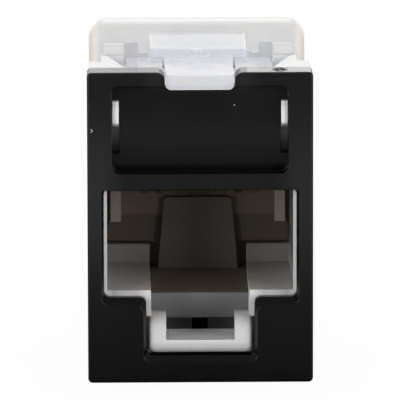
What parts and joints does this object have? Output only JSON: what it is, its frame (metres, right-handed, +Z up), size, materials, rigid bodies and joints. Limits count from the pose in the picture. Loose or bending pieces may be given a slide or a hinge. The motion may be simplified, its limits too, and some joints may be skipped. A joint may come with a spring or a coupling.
{
  "type": "keystone jack",
  "caption": "Snap-in keystone jack: black face with modular plug port and label window, clear spring latch, white body and rear wire cap.",
  "frame": {"origin": "centre of the front face, in the plane of the front face, where the jack sits in its wall plate opening", "axes": "+X to the right seen from the front, +Y from the front face to the back, +Z up towards the latch"},
  "size_m": [0.0144, 0.034, 0.0215],
  "materials": {
    "black_plastic": "semi-gloss moulded ABS",
    "white_plastic": "satin moulded white",
    "clear_plastic": "clear polycarbonate",
    "carrier_plastic": "dark warm grey glass-filled plastic",
    "cap_plastic": "translucent white, satin",
    "board_laminate": "green solder mask",
    "gold_plate": "gold-plated phosphor bronze",
    "tin_plate": "tin-plated phosphor bronze"
  },
  "bodies": {
    "jack": {"front_housing": "black_plastic", "inner_housing": "white_plastic", "latch_frame": "clear_plastic", "contact_carrier": "carrier_plastic", "circuit_board": "board_laminate", "terminal_block": "white_plastic", "wire_terminal_1": "tin_plate", "wire_terminal_2": "tin_plate", "wire_terminal_3": "tin_plate", "wire_terminal_4": "tin_plate", "wire_terminal_5": "tin_plate", "wire_terminal_6": "tin_plate", "wire_terminal_7": "tin_plate", "wire_terminal_8": "tin_plate"},
    "latch": {"latch_arm": "clear_plastic"},
    "cap": {"rear_cap": "cap_plastic"},
    "contact_1": {"spring_contact_1": "gold_plate"},
    "contact_2": {"spring_contact_2": "gold_plate"},
    "contact_3": {"spring_contact_3": "gold_plate"},
    "contact_4": {"spring_contact_4": "gold_plate"},
    "contact_5": {"spring_contact_5": "gold_plate"},
    "contact_6": {"spring_contact_6": "gold_plate"},
    "contact_7": {"spring_contact_7": "gold_plate"},
    "contact_8": {"spring_contact_8": "gold_plate"}
  },
  "joints": [
    {"name": "latch_flex", "type": "hinge", "parent": "jack", "child": "latch", "pos_m": [0, 0.0012, 0.00945], "axis": [1, 0, 0], "range_deg": [-7, 0], "stiffness_Nm_per_rad": 0.4},
    {"name": "cap_slide", "type": "slide", "parent": "jack", "child": "cap", "axis": [0, 1, 0], "range_m": [0, 0.012]},
    {"name": "contact_flex_1", "type": "hinge", "parent": "jack", "child": "contact_1", "pos_m": [-0.00356, 0.01345, 0.00202], "axis": [-1, 0, 0], "range_deg": [0, 5.5], "stiffness_Nm_per_rad": 0.066},
    {"name": "contact_flex_2", "type": "hinge", "parent": "jack", "child": "contact_2", "pos_m": [-0.00254, 0.01345, 0.00202], "axis": [-1, 0, 0], "range_deg": [0, 5.5], "stiffness_Nm_per_rad": 0.066},
    {"name": "contact_flex_3", "type": "hinge", "parent": "jack", "child": "contact_3", "pos_m": [-0.00152, 0.01345, 0.00202], "axis": [-1, 0, 0], "range_deg": [0, 5.5], "stiffness_Nm_per_rad": 0.066},
    {"name": "contact_flex_4", "type": "hinge", "parent": "jack", "child": "contact_4", "pos_m": [-0.00051, 0.01345, 0.00202], "axis": [-1, 0, 0], "range_deg": [0, 5.5], "stiffness_Nm_per_rad": 0.066},
    {"name": "contact_flex_5", "type": "hinge", "parent": "jack", "child": "contact_5", "pos_m": [0.00051, 0.01345, 0.00202], "axis": [-1, 0, 0], "range_deg": [0, 5.5], "stiffness_Nm_per_rad": 0.066},
    {"name": "contact_flex_6", "type": "hinge", "parent": "jack", "child": "contact_6", "pos_m": [0.00152, 0.01345, 0.00202], "axis": [-1, 0, 0], "range_deg": [0, 5.5], "stiffness_Nm_per_rad": 0.066},
    {"name": "contact_flex_7", "type": "hinge", "parent": "jack", "child": "contact_7", "pos_m": [0.00254, 0.01345, 0.00202], "axis": [-1, 0, 0], "range_deg": [0, 5.5], "stiffness_Nm_per_rad": 0.066},
    {"name": "contact_flex_8", "type": "hinge", "parent": "jack", "child": "contact_8", "pos_m": [0.00356, 0.01345, 0.00202], "axis": [-1, 0, 0], "range_deg": [0, 5.5], "stiffness_Nm_per_rad": 0.066}
  ],
  "couplings": [
    {"joint": "contact_flex_2", "follows": "contact_flex_1", "ratio": 1},
    {"joint": "contact_flex_3", "follows": "contact_flex_1", "ratio": 1},
    {"joint": "contact_flex_4", "follows": "contact_flex_1", "ratio": 1},
    {"joint": "contact_flex_5", "follows": "contact_flex_1", "ratio": 1},
    {"joint": "contact_flex_6", "follows": "contact_flex_1", "ratio": 1},
    {"joint": "contact_flex_7", "follows": "contact_flex_1", "ratio": 1},
    {"joint": "contact_flex_8", "follows": "contact_flex_1", "ratio": 1}
  ]
}
